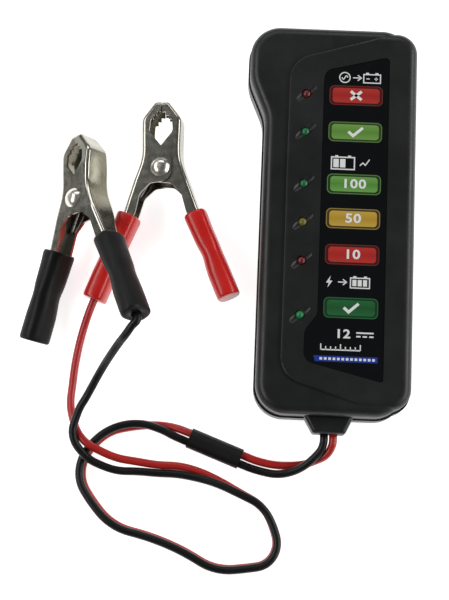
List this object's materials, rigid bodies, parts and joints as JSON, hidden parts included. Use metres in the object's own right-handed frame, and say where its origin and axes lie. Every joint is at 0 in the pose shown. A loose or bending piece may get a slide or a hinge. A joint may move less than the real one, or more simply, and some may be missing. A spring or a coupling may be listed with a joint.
{
  "type": "battery tester",
  "caption": "Hand-held 12 V battery and alternator tester with lamp column, printed panel and two sprung clips on a twin lead.",
  "frame": {"origin": "middle of the case's back face", "axes": "+Z out of the front panel, +Y up the panel towards its head, +X to the right of the panel"},
  "size_m": [0.13, 0.1834, 0.038],
  "materials": {
    "case_plastic": "satin moulded",
    "label_film": "gloss printed film",
    "lamp_red": "tinted epoxy",
    "lamp_green": "tinted epoxy",
    "lamp_yellow": "tinted epoxy",
    "tinned_wire": "tinned",
    "solder": "satin",
    "board": "solder mask",
    "chip_plastic": "moulded epoxy",
    "resistor_body": "lacquer",
    "diode_body": "moulded epoxy",
    "reference_glass": "glass bead",
    "capacitor_sleeve": "shrink sleeve",
    "screw_steel": "zinc plated",
    "tie_nylon": "natural nylon",
    "lead_black": "soft vinyl",
    "lead_red": "soft vinyl",
    "sleeve_black": "shrink tube",
    "copper_strand": "bare copper",
    "clip_nickel": "nickel plated",
    "spring_steel": "bright drawn",
    "grip_red": "soft vinyl, gloss",
    "grip_black": "soft vinyl, satin"
  },
  "bodies": {
    "tester": {"front_cover": "case_plastic", "rear_cover": "case_plastic", "faceplate_label": "label_film", "led_alternator_fault": "lamp_red", "led_alternator_good": "lamp_green", "led_battery_full": "lamp_green", "led_battery_middle": "lamp_yellow", "led_battery_low": "lamp_red", "led_ready": "lamp_green", "led_legs": "tinned_wire", "solder_joints": "solder", "circuit_board": "board", "comparator_chips": "chip_plastic", "chip_pins": "tinned_wire", "resistors": "resistor_body", "reference_diode": "reference_glass", "polarity_diode": "diode_body", "filter_capacitor": "capacitor_sleeve", "case_screws": "screw_steel", "board_screws": "screw_steel", "cable_tie": "tie_nylon", "black_lead_stub": "lead_black", "red_lead_stub": "lead_red", "stub_conductors": "copper_strand"},
    "cable": {"black_lead": "lead_black", "red_lead": "lead_red", "inline_sleeve": "sleeve_black", "red_fixed_jaw": "clip_nickel", "red_rivet": "clip_nickel", "red_spring": "spring_steel", "red_fixed_grip": "grip_red", "red_conductor": "copper_strand", "red_crimp": "tinned_wire", "black_fixed_jaw": "clip_nickel", "black_rivet": "clip_nickel", "black_spring": "spring_steel", "black_fixed_grip": "grip_black", "black_conductor": "copper_strand", "black_crimp": "tinned_wire"},
    "red_jaw": {"red_moving_jaw": "clip_nickel", "red_moving_grip": "grip_red"},
    "black_jaw": {"black_moving_jaw": "clip_nickel", "black_moving_grip": "grip_black"}
  },
  "joints": [
    {"name": "cable_swing", "type": "hinge", "parent": "tester", "child": "cable", "pos_m": [-0.00055, -0.0713, 0.009], "axis": [0, 0, 1], "range_deg": [-4, 30]},
    {"name": "red_jaw_pivot", "type": "hinge", "parent": "cable", "child": "red_jaw", "pos_m": [-0.05897, 0.01593, 0.0094], "axis": [0.1508, 0.0152, -0.9884], "range_deg": [0, 35], "stiffness_Nm_per_rad": 0.08, "deforming": ["red_spring"]},
    {"name": "black_jaw_pivot", "type": "hinge", "parent": "cable", "child": "black_jaw", "pos_m": [-0.0846, 0.0029, 0.01385], "axis": [-0.6255, 0.055, 0.7783], "range_deg": [0, 35], "stiffness_Nm_per_rad": 0.08, "deforming": ["black_spring"]}
  ]
}
